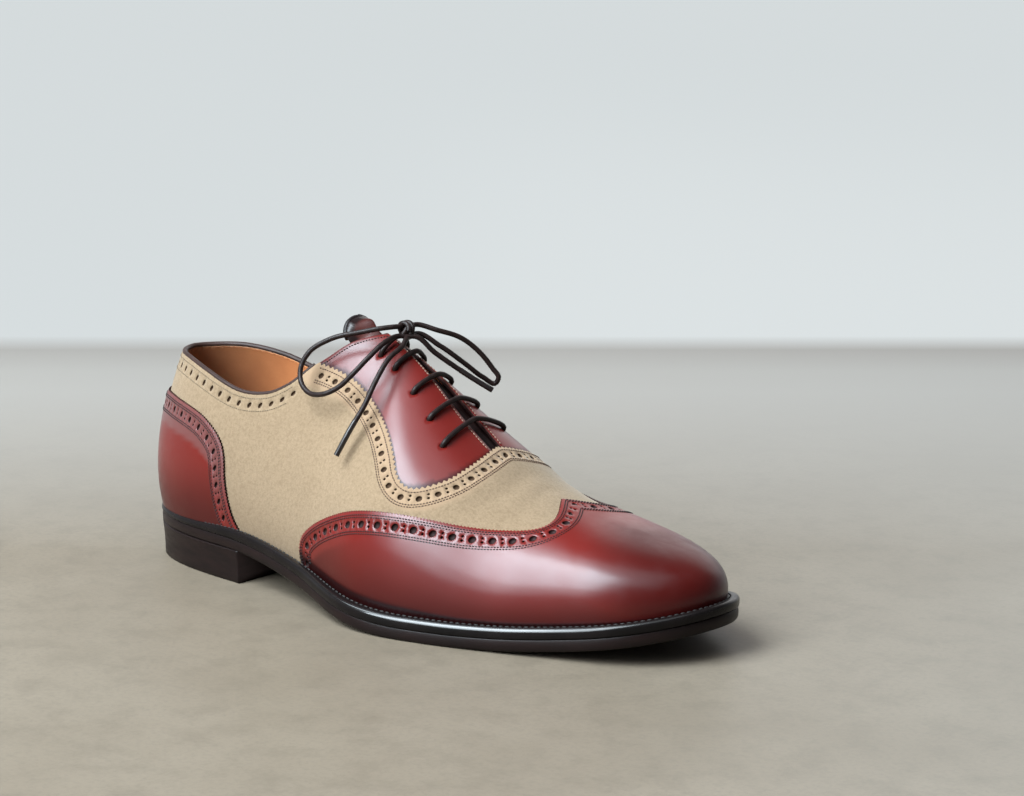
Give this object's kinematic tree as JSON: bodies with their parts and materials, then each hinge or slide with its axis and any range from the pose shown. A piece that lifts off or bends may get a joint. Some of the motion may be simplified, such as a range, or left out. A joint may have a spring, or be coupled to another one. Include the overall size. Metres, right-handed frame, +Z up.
{
  "type": "spectator wingtip oxford shoe",
  "caption": "Right-foot wingtip oxford in two colours: suede vamp and quarters under smooth leather wing cap, heel counter and facings, on a welted leather sole with a low stacked heel.",
  "frame": {"origin": "on the floor under the middle of the heel block", "axes": "+X towards the toe, +Y towards the medial (inner) side of this right shoe, +Z up"},
  "size_m": [0.2998, 0.112, 0.1164],
  "materials": {
    "suede": "short-nap tan suede, fully matt",
    "oxblood": "polished oxblood calf, soft gloss",
    "tongue_leather": "oxblood leather with a dark folded top edge",
    "lining_tan": "tan lining and insole leather, satin",
    "welt_black": "black-brown dyed welt leather with a burnished edge",
    "sole_black": "black-brown dyed sole leather, waxed and burnished",
    "dark_edge": "dark folded edge binding",
    "lace_brown": "waxed round cotton lace, dark brown"
  },
  "bodies": {
    "root": {"upper": "suede", "facing_lateral": "oxblood", "facing_medial": "oxblood", "wing_cap": "oxblood", "heel_counter": "oxblood", "tongue": "tongue_leather", "insole": "lining_tan", "welt": "welt_black", "outsole": "sole_black", "heel": "sole_black", "collar_binding": "dark_edge", "lace_bar_1": "lace_brown", "lace_bar_2": "lace_brown", "lace_bar_3": "lace_brown", "lace_bar_4": "lace_brown", "lace_bar_5": "lace_brown", "lace_knot": "lace_brown", "lace_loop_lateral": "lace_brown", "lace_loop_medial": "lace_brown", "lace_end_lateral": "lace_brown", "lace_end_medial": "lace_brown"}
  },
  "joints": []
}
